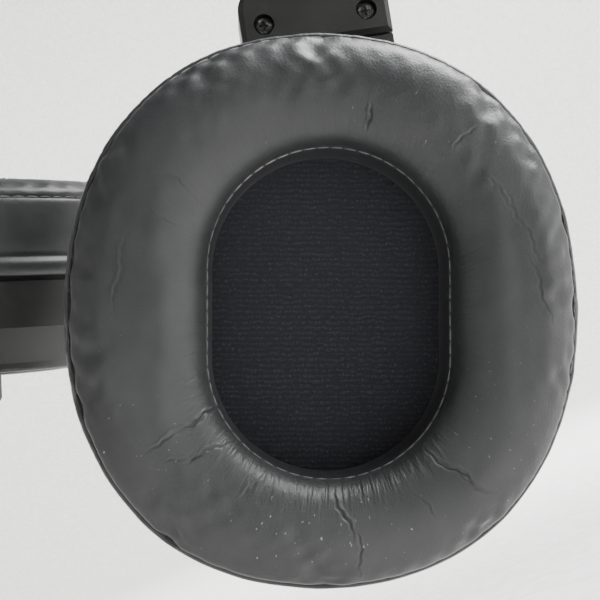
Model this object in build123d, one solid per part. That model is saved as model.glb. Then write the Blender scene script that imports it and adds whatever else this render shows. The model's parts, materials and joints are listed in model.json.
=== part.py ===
from build123d import *
from math import cos, degrees, hypot, radians, sin
import os

# Over ear headphones with folding, swivelling cups, in millimetres.
# +X is the wearer's left, +Z the crown of the head and -Y the front.
# The origin is the underside of the headband cushion at the crown, where a head carries it.
# The arm of one side is modelled for the left and mirrored for the right.

# ---- rest pose, degrees -------------------------------------------------
hinge_angle = 77.0          # fold hinge, round the headband from the crown
lean = {"left": 14.5, "right": 67.0}      # arm, inward from straight down
swivel = {"left": 118.0, "right": 0.0}    # cup, from facing the other cup
unfolded_lean = 4.0         # arm against its stop, unfolded

# ---- fits ---------------------------------------------------------------
running_fit = 0.05          # radial, on pins that turn
screw_fit = 0.05            # radial, round a screw
seat_fit = 0.1              # between covers and what they close on
slide_fit = 0.1             # beside and over the slider strip

# ---- headband -----------------------------------------------------------
arc_radius = 103.0          # middle of the spring strip
spring_thickness = 1.2
spring_half_width = 7.0
spring_half_span = 60.0     # degrees
cushion_thickness = 9.0
cushion_half_width = 13.5
cover_thickness = 3.5
cover_half_width = 14.0
padding_half_span = 37.5    # degrees
band_lead_radius = 0.8
band_lead_offset = 4.5

# ---- end caps -----------------------------------------------------------
cap_start = 38.0            # degrees
cap_end = 63.0
cap_edge = 2.4              # outside the middle of the screws
cap_outer_wall = 3.0
cap_inner_wall = 2.4
cap_screw_angles = (41.0, 60.5)
cap_screw_clearance = 2.6   # from the spring's edge to the middle of the screws
cap_screw_radius = 0.9
cap_screw_head_radius = 1.6
cap_screw_head_depth = 1.1
cap_screw_sink = 0.3
cap_screw_spare = 0.5       # hole past the screw's tip
cap_corner = 2.0
cap_skin = 1.0              # left between the screw's tip and the outside
channel_start = 40.5
detent_start = 56.0
detent_end = 59.0
detent_half_width = 3.0

# ---- slider and fold hinge ----------------------------------------------
strip_thickness = 1.2
strip_half_width = 6.0
strip_drop = 2.6            # strip below the spring, middle to middle
strip_start = 46.0          # degrees, upper end at rest
hinge_drop = 2.0            # hinge axis inward of the strip
hinge_pin_radius = 2.0
knuckle_radius = 6.0
knuckle_half_width = 6.0
cheek_gap = 0.15
cheek_thickness = 3.2
cheek_radius = 6.5
bracket_base = 6.7          # start of the bracket's body above the hinge axis
bracket_corner = 2.0
strip_inset = 2.0           # strip's end above the start of the bracket's body
bracket_top = 16.0
bracket_outer = 6.5
bracket_inner = 2.5
rivet_radius = 1.2
rivet_height = 12.6
rivet_spacing = 6.0

# ---- arm: knuckle and swivel --------------------------------------------
hinge_rise = 10.0           # fold hinge above the yoke's block
collar_gap = 0.3
collar_thickness = 2.4
collar_overlap = 3.9        # collar past the swivel pin
swivel_pin_radius = 3.6
swivel_bore_radius = 1.8
swivel_flange_overlap = 1.3
swivel_flange_thickness = 1.6
swivel_flange_fit = 0.2
swivel_pin_length = 10.0

# ---- yoke ---------------------------------------------------------------
block_half_width = 14.9
block_offset = 8.7          # block and swivel beside the middle of the cup
block_gap = 0.3             # between the crown and the block's cover
block_height = 12.5
block_wall = 1.1            # in front of the swivel pin's flange
block_back = 9.0
block_split = -0.6
block_corner = 4.5
block_bevel = 1.0
crown_gap = 3.4             # above the cup housing
crown_thickness = 4.0
crown_setback = 1.6         # behind the block's front
web_depth = 5.0             # crown's web down to the arch
fork_gap = 0.7              # beside the cup housing
fork_thickness = 3.6
fork_depth = 8.0
fork_setback = 5.5          # how far the fork steps back from pivots to crown
pivot_pin_radius = 2.5
pivot_eye_wall = 3.5
pivot_boss_wall = 2.5
pivot_head_overlap = 1.3
pivot_head_depth = 1.4
pivot_reach = 4.4           # pin into the housing boss
pivot_end_gap = 0.3
pivot_boss_depth = 5.4
yoke_screw_x = 10.2         # each side of the block's middle
yoke_screw_rise = 4.8       # above the bottom of the block
yoke_screw_hole = 12.0
yoke_screw_radius = 1.1
yoke_screw_head_radius = 1.5
yoke_screw_head_depth = 1.2
yoke_counterbore_radius = 2.05
yoke_counterbore_depth = 2.6
yoke_screw_length = 9.0
recess_width = 0.5
recess_depth = 0.6

# ---- cup ----------------------------------------------------------------
pad_overhang = 5.5          # pad past the cup all round
pad_depth = 20.5
pad_opening_width = 44.0
pad_opening_height = 60.0
pad_crown_radius = 8.0
pad_mouth_radius = 5.0
pad_lip_radius = 1.5
cup_half_width = 41.0
cup_half_height = 44.5
oval_fullness = 1.3         # side radius of an oval over its half height
cup_cant = 9.2              # degrees that the cup's ovals lean from the arm
rim_front = -7.2            # housing rim, towards the ear from the pivots
band_one_depth = 4.0
band_two_depth = 6.2
band_three_depth = 8.1
band_step = 0.6
taper = 4.9
housing_wall = 2.2
back_wall = 2.0
boss_gap = 0.2              # between a screw boss and the baffle's spigot
neck_height = 1.2
neck_inset = 2.5
flange_thickness = 3.0
spigot_depth = 2.0
spigot_wall = 1.5
outer_ring_thickness = 2.0
outer_ring_width = 4.5
ring_edge = 0.8
cap_dome = 1.0
scrim_thickness = 0.8
scrim_margin = 3.0
grille_hole_radius = 1.6
grille_pitch = 5.6
grille_rows = 5
grille_thickness = 1.0
driver_radius = 20.0
driver_depth = 5.0
driver_wall = 1.6
driver_lip = 2.0
driver_back = 1.5
diaphragm_gap = 0.5         # behind the grille
diaphragm_thickness = 0.4
magnet_radius = 12.0
magnet_depth = 7.4
felt_thickness = 1.6
felt_radius = 22.0
baffle_screw_inset = 17.0   # from the cup's side
baffle_screw_drop = 17.5    # from the cup's top
baffle_screw_radius = 1.25
baffle_screw_head_radius = 2.5
baffle_screw_head_depth = 1.6
baffle_screw_length = 9.0
screw_boss_radius = 3.2
jack_radius = 1.8
jack_length = 14.0
jack_barrel_radius = 3.6
jack_end_wall = 2.0
jack_collar_radius = 4.6
jack_collar_height = 0.8

# ---- jumper lead, from the cup's back to the yoke arm ---------------------
lead_radius = 1.0
lead_insert = 2.0
lead_route = [
    (24.0, 16.6, -28.0),
    (28.0, 23.5, -18.6),
    (34.0, 27.8, -7.0),
    (40.0, 26.0, 4.6),
    (43.2, 18.5, 11.8),
    (43.2, 10.4, 13.4),
]
boot_half_width = 3.0
boot_length = 5.0
boot_height = 6.4
boot_corner = 1.6
boot_crown = 1.4
yoke_boot_length = 3.4
yoke_boot_nose = 1.0        # past the end of the lead
yoke_boot_radius = 2.2

# ---- cutting tools' spare lengths ---------------------------------------------
spare = 1.0                 # past a face that a cut goes through
through = 60.0              # a cut right through one arm or cap

# ---- values that follow from the ones above -------------------------------
centre_z = -(arc_radius - spring_thickness / 2 - cushion_thickness)
spring_inside = arc_radius - spring_thickness / 2
spring_outside = arc_radius + spring_thickness / 2
strip_radius = arc_radius - strip_drop
strip_inside = strip_radius - strip_thickness / 2
strip_outside = strip_radius + strip_thickness / 2
hinge_radius = strip_radius - hinge_drop
cap_inside = strip_inside - slide_fit - cap_inner_wall
cap_outside = spring_outside + cap_outer_wall
cap_screw_offset = spring_half_width + cap_screw_clearance
cap_half_width = cap_screw_offset + cap_edge
cap_screw_length = cap_outside - cap_inside - cap_skin
bracket_half_width = knuckle_half_width + cheek_gap + cheek_thickness
fork_inside = cup_half_width + fork_gap
fork_outside = fork_inside + fork_thickness
crown_inside = cup_half_height + crown_gap
crown_outside = crown_inside + crown_thickness
block_bottom = crown_outside + block_gap
block_top = block_bottom + block_height
arm_length = block_top + hinge_rise
collar_radius = swivel_pin_radius + collar_overlap
swivel_flange_radius = swivel_pin_radius + swivel_flange_overlap
block_front = -(swivel_flange_radius + block_wall)
crown_front = block_front + crown_setback
yoke_screw_z = block_bottom + yoke_screw_rise
pivot_eye_radius = pivot_pin_radius + pivot_eye_wall
pivot_boss_radius = pivot_pin_radius + pivot_boss_wall
pivot_head_radius = pivot_pin_radius + pivot_head_overlap
pivot_tip = cup_half_width - band_step - pivot_reach
pivot_seat = fork_outside - pivot_head_depth
band_one_back = rim_front + band_one_depth
band_two_back = band_one_back + band_two_depth
housing_back = band_two_back + band_three_depth
ring_back = housing_back + outer_ring_thickness
pad_back = rim_front - neck_height
pad_front = pad_back - pad_depth
flange_front = pad_back - flange_thickness
scrim_front = flange_front - scrim_thickness
grille_back = flange_front + grille_thickness
pad_half_width = cup_half_width + pad_overhang
pad_half_height = cup_half_height + pad_overhang
baffle_screw_x = cup_half_width - baffle_screw_inset
baffle_screw_z = cup_half_height - baffle_screw_drop
body_half_width = cup_half_width - band_step
body_half_height = cup_half_height - band_step


# ---- shapes used over and over ---------------------------------------------
def oval(half_width, half_height, inset=0.0):
    """A four-arc oval, upright in its plane; inset gives a parallel smaller one."""
    side_radius = half_height * oval_fullness
    side_centre = side_radius - half_width
    end_gap = side_radius - half_height
    end_centre = (side_centre**2 - end_gap**2) / (2 * end_gap)
    reach = hypot(side_centre, end_centre)
    radius = side_radius - inset
    join_x = radius * side_centre / reach - side_centre
    join_y = radius * end_centre / reach
    across = half_width - inset
    up = half_height - inset
    outline = [
        ThreePointArc((join_x, -join_y), (across, 0), (join_x, join_y)),
        ThreePointArc((join_x, join_y), (0, up), (-join_x, join_y)),
        ThreePointArc((-join_x, join_y), (-across, 0), (-join_x, -join_y)),
        ThreePointArc((-join_x, -join_y), (0, -up), (join_x, -join_y)),
    ]
    return make_face(Curve() + outline)


def cup_oval(inset=0.0):
    """The cup's outline, leaning from the arm, this far inside its rim."""
    return Rot(0, 0, -cup_cant) * oval(cup_half_width, cup_half_height, inset)


def ear_opening(margin=0.0):
    """The pad's rounded slot, leaning as the cup does."""
    tall = pad_opening_height + 2 * margin
    wide = pad_opening_width + 2 * margin
    return SlotOverall(tall, wide, rotation=90 - cup_cant)


def facing(y):
    """The upright plane across Y, at this depth."""
    return Plane((0, y, 0), x_dir=(1, 0, 0), z_dir=(0, -1, 0))


def slab(outline, front, back):
    """An upright outline made solid from front to back along Y."""
    return extrude(facing(front) * outline, amount=back - front, dir=(0, 1, 0))


def tapered(front_outline, back_outline, front, back):
    """A solid between two upright outlines."""
    return loft([facing(front) * front_outline, facing(back) * back_outline])


def rod(radius, start, end):
    """A round bar from one point to another."""
    start = Vector(*start)
    end = Vector(*end)
    direction = end - start
    return extrude(Plane(start, z_dir=direction) * Circle(radius), amount=direction.length)


def box(low, high):
    """A box from its lowest corner to its highest."""
    size = [b - a for a, b in zip(low, high)]
    middle = [(a + b) / 2 for a, b in zip(low, high)]
    return Pos(*middle) * Box(*size)


def on_arc(radius, angle):
    """X and Z of a point round the headband, from the arc's centre."""
    return radius * sin(radians(angle)), radius * cos(radians(angle))


def arc_bar(inside, outside, start, end, low_y, high_y):
    """A curved bar round the headband's centre, between two angles from the crown."""
    middle = (start + end) / 2
    outline = [
        ThreePointArc(on_arc(inside, start), on_arc(inside, middle), on_arc(inside, end)),
        Line(on_arc(inside, end), on_arc(outside, end)),
        ThreePointArc(on_arc(outside, end), on_arc(outside, middle), on_arc(outside, start)),
        Line(on_arc(outside, start), on_arc(inside, start)),
    ]
    return slab(make_face(Curve() + outline), low_y, high_y)


def screw(radius, length, head_radius, head_depth):
    """A cross-recess screw, head top at the origin, shank along -Z."""
    body = rod(head_radius, (0, 0, -head_depth), (0, 0, 0))
    body += rod(radius, (0, 0, -length), (0, 0, -head_depth))
    arm = head_radius * 0.6
    body -= box((-arm, -recess_width / 2, -recess_depth), (arm, recess_width / 2, spare))
    body -= box((-recess_width / 2, -arm, -recess_depth), (recess_width / 2, arm, spare))
    return body


# ---- headband --------------------------------------------------------------
def headband_spring():
    span = spring_half_span
    bar = arc_bar(spring_inside, spring_outside, -span, span, -spring_half_width, spring_half_width)
    return bar


def headband_cushion():
    inside = spring_inside - cushion_thickness
    half = cushion_half_width
    bar = arc_bar(inside, spring_inside, -padding_half_span, padding_half_span, -half, half)
    rim = bar.edges().filter_by(GeomType.CIRCLE).group_by(lambda edge: edge.radius)[0]
    return fillet(rim, cushion_thickness / 3)


def headband_cover():
    outside = spring_outside + cover_thickness
    half = cover_half_width
    bar = arc_bar(spring_inside, outside, -padding_half_span, padding_half_span, -half, half)
    span = padding_half_span + spare
    wide = spring_half_width
    lead = 2 * band_lead_radius
    low_y = band_lead_offset - band_lead_radius
    bar -= arc_bar(spring_outside, spring_outside + lead, -span, span, low_y, low_y + lead)
    bar -= arc_bar(spring_inside - spare, spring_outside, -span, span, -wide, wide)
    rim = bar.edges().filter_by(GeomType.CIRCLE).group_by(lambda edge: edge.radius)[-1]
    return fillet(rim, cover_thickness / 2)


def headband_lead():
    low_y = band_lead_offset - band_lead_radius
    size = 2 * band_lead_radius
    span = padding_half_span
    return arc_bar(spring_outside, spring_outside + size, -span, span, low_y, low_y + size)


def cap_screw_places():
    """Places of one end cap's screws, heads inward."""
    places = []
    for angle in cap_screw_angles:
        for y in (-cap_screw_offset, cap_screw_offset):
            x, z = on_arc(cap_inside, angle)
            toward = Vector(-sin(radians(angle)), 0, -cos(radians(angle)))
            places.append(Plane((x, y, z), z_dir=toward).location)
    return places


def end_cap_outer():
    half = cap_half_width
    shell = arc_bar(spring_inside, cap_outside, cap_start, cap_end, -half, half)
    rim = shell.edges().filter_by(GeomType.CIRCLE).group_by(lambda edge: edge.radius)[-1]
    shell = fillet(rim, cap_corner)
    wide = spring_half_width + seat_fit
    pocket_end = spring_half_span + seat_fit
    shell -= arc_bar(spring_inside - spare, spring_outside, cap_start - spare, pocket_end, -wide, wide)
    hole = (0, 0, -cap_screw_length - cap_screw_spare)
    for place in cap_screw_places():
        shell -= place * rod(cap_screw_radius + screw_fit, hole, (0, 0, 0))
    return shell


def end_cap_inner():
    half = cap_half_width
    shell = arc_bar(cap_inside, spring_inside, cap_start, cap_end, -half, half)
    rim = shell.edges().filter_by(GeomType.CIRCLE).group_by(lambda edge: edge.radius)[0]
    shell = fillet(rim, cap_corner)
    wide = strip_half_width + slide_fit
    floor = strip_inside - slide_fit
    shell -= arc_bar(floor, spring_inside + spare, channel_start, cap_end + spare, -wide, wide)
    head = cap_screw_head_radius + screw_fit
    seat = (0, 0, -cap_screw_head_depth - cap_screw_sink)
    for place in cap_screw_places():
        shell -= place * rod(cap_screw_radius + screw_fit, (0, 0, -through), (0, 0, 0))
        shell -= place * rod(head, seat, (0, 0, spare))
    return shell


def cap_screws():
    one = screw(cap_screw_radius, cap_screw_length, cap_screw_head_radius, cap_screw_head_depth)
    return [place * Pos(0, 0, -cap_screw_sink) * one for place in cap_screw_places()]


def detent_spring():
    low = strip_outside + slide_fit
    half = detent_half_width
    return arc_bar(low, spring_inside, detent_start, detent_end, -half, half)


# ---- slider, drawn round the arc's centre ------------------------------------
def strip_end():
    """Angle where the strip ends inside the hinge bracket."""
    return hinge_angle - degrees((bracket_base + strip_inset) / strip_radius)


def slider_strip():
    half = strip_half_width
    strip = arc_bar(strip_inside, strip_outside, strip_start, strip_end(), -half, half)
    for place in rivet_places():
        strip -= place * rod(rivet_radius, (-through, 0, 0), (through, 0, 0))
    return strip


def hinge_frame():
    """Hinge axis frame: +Z back along the arc, +X inward."""
    x, z = on_arc(hinge_radius, hinge_angle)
    return Pos(x, 0, z) * Rot(0, hinge_angle - 90, 0) * Rot(0, 0, 180)


def rivet_places():
    return [hinge_frame() * Pos(0, y, rivet_height) for y in (-rivet_spacing / 2, rivet_spacing / 2)]


def hinge_bracket():
    half = bracket_half_width
    gap = knuckle_half_width + cheek_gap
    body = rod(cheek_radius, (0, -half, 0), (0, half, 0))
    body += box((-bracket_outer, -half, 0), (bracket_inner, half, bracket_top))
    body -= box((-through, -gap, -through), (through, gap, bracket_base))
    body -= rod(hinge_pin_radius, (0, -through, 0), (0, through, 0))
    body = fillet(body.edges().filter_by(Axis.Y).group_by(Axis.Z)[-1], bracket_corner)
    body = hinge_frame() * body
    slot = strip_half_width
    body -= arc_bar(strip_inside, strip_outside, strip_start, strip_end(), -slot, slot)
    for place in rivet_places():
        body -= place * rod(rivet_radius, (-through, 0, 0), (through, 0, 0))
    return body


def bracket_rivets():
    low = -bracket_outer
    return [place * rod(rivet_radius, (low, 0, 0), (bracket_inner, 0, 0)) for place in rivet_places()]


def hinge_pin():
    half = bracket_half_width
    return hinge_frame() * rod(hinge_pin_radius, (0, -half, 0), (0, half, 0))


# ---- knuckle, drawn in the arm's frame, cup pivots at the origin ---------------
def hinge_knuckle():
    half = knuckle_half_width
    body = rod(knuckle_radius, (0, -half, arm_length), (0, half, arm_length))
    low = block_top + collar_gap
    body += box((-half, -half, low + collar_thickness), (half, half, arm_length))
    body += rod(collar_radius, (0, 0, low), (0, 0, low + collar_thickness))
    body -= rod(hinge_pin_radius + running_fit, (0, -through, arm_length), (0, through, arm_length))
    return body


def swivel_pin():
    top = block_top + collar_gap
    low = top - swivel_pin_length
    pin = rod(swivel_pin_radius, (0, 0, low), (0, 0, top))
    pin += rod(swivel_flange_radius, (0, 0, low - swivel_flange_thickness), (0, 0, low))
    return pin - rod(swivel_bore_radius, (0, 0, 0), (0, 0, top))


# ---- yoke, in the arm's frame --------------------------------------------------
def swivel_pocket():
    """The bore and flange pocket that the swivel pin turns in."""
    low = block_top + collar_gap - swivel_pin_length
    floor = low - swivel_flange_thickness - swivel_flange_fit
    ceiling = low + swivel_flange_fit / 2
    pocket = rod(swivel_pin_radius + running_fit, (0, 0, low), (0, 0, block_top + spare))
    pocket += rod(swivel_flange_radius + swivel_flange_fit, (0, 0, floor), (0, 0, ceiling))
    return Pos(block_offset, 0, 0) * pocket


def block():
    """The yoke's head, before it is split into fork and cover."""
    half = block_half_width
    body = box((-half, block_front, block_bottom), (half, block_back, block_top))
    body = fillet(body.edges().filter_by(Axis.Y).group_by(Axis.Z)[-1], block_corner)
    body = chamfer(body.faces().sort_by(Axis.Y)[0].edges().filter_by(Axis.Y, reverse=True), block_bevel)
    return Pos(block_offset, 0, 0) * body - swivel_pocket()


def yoke_screw_places():
    face = Plane((0, block_front, 0), x_dir=(1, 0, 0), z_dir=(0, -1, 0))
    middle = face.location * Pos(block_offset, yoke_screw_z, 0)
    return [middle * Pos(x, 0, 0) for x in (-yoke_screw_x, yoke_screw_x)]


def yoke_fork():
    half_depth = fork_depth / 2
    arch = oval(fork_outside, crown_outside) - oval(fork_inside, crown_inside)
    reach = fork_outside + spare
    arch -= Pos(0, -crown_outside) * Rectangle(2 * reach, 2 * crown_outside)
    side = make_face(
        Polyline(
            (-half_depth, -spare),
            (half_depth, -spare),
            (block_back, crown_outside + spare),
            (fork_setback - half_depth, crown_outside + spare),
            close=True,
        )
    )
    side = extrude(Plane.YZ.offset(-reach) * side, amount=2 * reach)
    fork = slab(arch, -half_depth, block_back) & side
    for sign in (-1, 1):
        eye = rod(pivot_eye_radius, (sign * fork_inside, 0, 0), (sign * fork_outside, 0, 0))
        fork += eye
    left = block_offset - block_half_width
    right = block_offset + block_half_width
    web = box((left, crown_front, crown_inside - web_depth), (right, block_back, crown_outside))
    fork += web - slab(oval(fork_inside, crown_inside), crown_front, block_back)
    fork += box((left, block_split, crown_inside), (right, block_back, block_bottom + spare))
    fork += block() & box((left, block_split, crown_outside - spare), (right, block_back, block_top))
    fork -= swivel_pocket()
    for sign in (-1, 1):
        fork -= rod(pivot_pin_radius, (sign * pivot_tip, 0, 0), (sign * through, 0, 0))
        fork -= rod(pivot_head_radius, (sign * pivot_seat, 0, 0), (sign * through, 0, 0))
    for place in yoke_screw_places():
        fork -= place * rod(yoke_screw_radius + screw_fit, (0, 0, -yoke_screw_hole), (0, 0, 0))
    return fork


def yoke_cover():
    left = block_offset - block_half_width
    right = block_offset + block_half_width
    back = block_split - seat_fit / 2
    cover = block() & box((left, block_front, block_bottom), (right, back, block_top))
    for place in yoke_screw_places():
        cover -= place * rod(yoke_counterbore_radius, (0, 0, -yoke_counterbore_depth), (0, 0, spare))
        cover -= place * rod(yoke_screw_radius + screw_fit, (0, 0, -through), (0, 0, 0))
    return cover


def yoke_screws():
    one = screw(yoke_screw_radius, yoke_screw_length, yoke_screw_head_radius, yoke_screw_head_depth)
    drop = yoke_counterbore_depth - yoke_screw_head_depth
    return [place * Pos(0, 0, -drop) * one for place in yoke_screw_places()]


def pivot_pins():
    pins = []
    for sign in (-1, 1):
        pin = rod(pivot_pin_radius, (sign * pivot_tip, 0, 0), (sign * pivot_seat, 0, 0))
        pin += rod(pivot_head_radius, (sign * pivot_seat, 0, 0), (sign * fork_outside, 0, 0))
        pins.append(pin)
    return pins


# ---- cup, in its own frame, pivots along X through the origin -------------------
def baffle_screw_places():
    places = []
    for x in (-baffle_screw_x, baffle_screw_x):
        for z in (-baffle_screw_z, baffle_screw_z):
            places.append(facing(flange_front).location * Pos(x, z, 0))
    return places


def cup_housing(has_jack):
    rim = cup_oval()
    body_oval = cup_oval(band_step)
    back_oval = cup_oval(band_step + taper)
    shell = slab(rim, rim_front, band_one_back)
    shell += slab(body_oval, band_one_back, band_two_back)
    shell += tapered(body_oval, back_oval, band_two_back, housing_back)
    inside = cup_oval(band_step + housing_wall)
    deep = cup_oval(band_step + housing_wall + taper)
    floor = housing_back - back_wall
    hollow = slab(inside, rim_front, band_two_back) + tapered(inside, deep, band_two_back, floor)
    shell -= hollow
    for place in baffle_screw_places():
        x, z = place.position.X, place.position.Z
        top = rim_front + spigot_depth + boss_gap
        shell += rod(screw_boss_radius, (x, top, z), (x, floor, z))
        shell -= rod(baffle_screw_radius + screw_fit, (x, top - spare, z), (x, floor - spare, z))
    bore = pivot_pin_radius + running_fit
    boss_end = body_half_width - pivot_boss_depth
    boss_base = body_half_width - housing_wall / 2
    for sign in (-1, 1):
        shell += rod(pivot_boss_radius, (sign * boss_end, 0, 0), (sign * boss_base, 0, 0))
        shell -= rod(bore, (sign * (pivot_tip - pivot_end_gap), 0, 0), (sign * through, 0, 0))
    if has_jack:
        shell -= rod(jack_barrel_radius, (0, 0, -through), (0, 0, -cup_half_height + jack_length))
    return shell


def outer_ring():
    edge = cup_oval(band_step + taper)
    hole = cup_oval(band_step + taper + outer_ring_width)
    ring = slab(edge - hole, housing_back, ring_back)
    rim = ring.faces().sort_by(Axis.Y)[-1].outer_wire().edges()
    return fillet(rim, ring_edge)


def outer_cap():
    inset = band_step + taper + outer_ring_width + seat_fit
    plate = slab(cup_oval(inset), housing_back, ring_back + cap_dome)
    rim = plate.faces().sort_by(Axis.Y)[-1].edges()
    return fillet(rim, cap_dome)


def baffle():
    plate = slab(cup_oval(), flange_front, pad_back)
    plate += slab(cup_oval(neck_inset), pad_back, rim_front)
    edge = band_step + housing_wall + seat_fit
    outline = cup_oval(edge)
    hole = cup_oval(edge + spigot_wall)
    plate += slab(outline - hole, rim_front, rim_front + spigot_depth)
    plate += rod(driver_radius + driver_wall, (0, grille_back, 0), (0, grille_back + driver_depth, 0))
    plate -= rod(driver_radius + running_fit, (0, grille_back, 0), (0, through, 0))
    for x, z in grille_points():
        plate -= rod(grille_hole_radius, (x, flange_front - spare, z), (x, grille_back + spare, z))
    head = baffle_screw_head_radius + screw_fit
    for place in baffle_screw_places():
        plate -= place * rod(head, (0, 0, -baffle_screw_head_depth), (0, 0, spare))
        plate -= place * rod(baffle_screw_radius + screw_fit, (0, 0, -through), (0, 0, 0))
    return plate


def grille_points():
    """Holes in front of the driver, in rows at sixty degrees."""
    points = []
    middle = grille_rows // 2
    for row in range(-middle, middle + 1):
        count = grille_rows - abs(row)
        for column in range(count):
            x = (column - (count - 1) / 2) * grille_pitch
            points.append((x, row * grille_pitch * sin(radians(60))))
    return points


def baffle_screws():
    head = baffle_screw_head_radius
    one = screw(baffle_screw_radius, baffle_screw_length, head, baffle_screw_head_depth)
    return [place * one for place in baffle_screw_places()]


def driver_frame():
    back = grille_back + driver_depth
    body = rod(driver_radius, (0, grille_back, 0), (0, back, 0))
    body -= rod(driver_radius - driver_lip, (0, grille_back, 0), (0, back - driver_back, 0))
    return body - rod(magnet_radius, (0, grille_back, 0), (0, back, 0))


def driver_magnet():
    front = grille_back + driver_depth - driver_back
    return rod(magnet_radius, (0, front, 0), (0, front + magnet_depth, 0))


def driver_diaphragm():
    front = grille_back + diaphragm_gap
    return rod(driver_radius - driver_lip, (0, front, 0), (0, front + diaphragm_thickness, 0))


def damping_felt():
    floor = housing_back - back_wall
    return rod(felt_radius, (0, floor - felt_thickness, 0), (0, floor, 0))


def scrim_cloth():
    return slab(ear_opening(scrim_margin), scrim_front, flange_front)


def ear_pad():
    outline = Rot(0, 0, -cup_cant) * oval(pad_half_width, pad_half_height)
    body = slab(outline, pad_front, pad_back)
    front = body.faces().sort_by(Axis.Y)[0].edges()
    body = fillet(front, pad_crown_radius)
    back = body.faces().sort_by(Axis.Y)[-1].edges()
    body = fillet(back, pad_lip_radius)
    body -= slab(ear_opening(), pad_front, pad_back)
    mouth = body.faces().sort_by(Axis.Y)[0].inner_wires()[0].edges()
    body = fillet(mouth, pad_mouth_radius)
    body -= slab(cup_oval(-seat_fit), flange_front, pad_back)
    return body - scrim_cloth()


def lead_boot_cup():
    """Boot on the back of the cup, with the lead's hole towards the arm."""
    x, y, z = lead_route[0]
    base = ring_back
    low = (x - boot_half_width, base, z - boot_length)
    high = (x + boot_half_width, base + boot_height, z + lead_insert / 2)
    body = box(low, high)
    body = fillet(body.edges().filter_by(Axis.Y), boot_corner)
    body = fillet(body.faces().sort_by(Axis.Y)[-1].edges(), boot_crown)
    return body - lead_start_bore()


def lead_start_bore():
    """The straight hole that the lead's first run enters."""
    start = Vector(*lead_route[0])
    along = (Vector(*lead_route[1]) - start).normalized()
    return rod(lead_radius, start, start + along * boot_height)


def lead_boot_yoke():
    """Round boot on the back of the yoke's arm."""
    end = Vector(*lead_route[-1])
    back = (Vector(*lead_route[-2]) - end).normalized()
    root = end - back * yoke_boot_length
    body = rod(yoke_boot_radius, root, end + back * yoke_boot_nose)
    body -= rod(lead_radius, end, end + back * yoke_boot_length)
    return body - yoke_fork()


def jumper_lead():
    points = [Vector(*point) for point in lead_route]
    radii = []
    for before, here, after in zip(points, points[1:], points[2:]):
        turn = radians((here - before).get_angle(after - here))
        short = min((here - before).length, (after - here).length)
        radii.append(0.45 * short * cos(turn / 2) / sin(turn / 2))
    print("jumper lead bend radii", [round(radius, 1) for radius in radii])
    path = FilletPolyline(*points, radius=radii)
    start = Plane(points[0], z_dir=points[1] - points[0])
    return sweep(start * Circle(lead_radius), path)


def jack_socket():
    top = -cup_half_height
    body = rod(jack_barrel_radius, (0, 0, top), (0, 0, top + jack_length + jack_end_wall))
    body += rod(jack_collar_radius, (0, 0, top - jack_collar_height), (0, 0, top))
    return body - rod(jack_radius, (0, 0, top - through), (0, 0, top + jack_length))


# ---- frames of the moving pieces ------------------------------------------------
def arc_frame():
    return Pos(0, 0, centre_z)


def arm_frame(side):
    """Arm frame: fold hinge above, cup pivots at its origin."""
    x, z = on_arc(hinge_radius, hinge_angle)
    return Pos(x, 0, centre_z + z) * Rot(0, lean[side], 0) * Pos(0, 0, -arm_length)


def yoke_frame(side):
    """The yoke's and cup's frame, turned about the arm; the pad faces -Y."""
    return arm_frame(side) * Rot(0, 0, swivel[side] - 90) * Pos(-block_offset, 0, 0)


def write(name, solids):
    shape = Compound(children=solids) if isinstance(solids, list) else solids
    shape.label = name
    export_step(shape, f"parts/{name}.step")


def place(side, frame, shape):
    """Moves a left-hand piece to its frame, mirrored for the right."""
    pieces = shape if isinstance(shape, list) else [shape]
    moved = []
    for piece in pieces:
        for solid in (frame * piece).solids():
            moved.append(solid if side == "left" else solid.mirror(Plane.YZ))
    return moved if len(moved) > 1 else moved[0]


def both_ends(shape):
    """One solid at each end of the headband."""
    pieces = []
    for side in ("left", "right"):
        made = place(side, arc_frame(), shape)
        pieces += made if isinstance(made, list) else [made]
    return pieces


def headband_nodes():
    """The headband's own pieces, which the end caps close."""
    nodes = {
        "headband_spring": arc_frame() * headband_spring(),
        "headband_cushion": arc_frame() * headband_cushion(),
        "headband_cover": arc_frame() * headband_cover(),
        "headband_lead": arc_frame() * headband_lead(),
        "end_cap_screws": both_ends(cap_screws()),
        "detent_springs": both_ends(detent_spring()),
    }
    for side in ("left", "right"):
        nodes[f"end_cap_outer_{side}"] = place(side, arc_frame(), end_cap_outer())
        nodes[f"end_cap_inner_{side}"] = place(side, arc_frame(), end_cap_inner())
    return nodes


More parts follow.
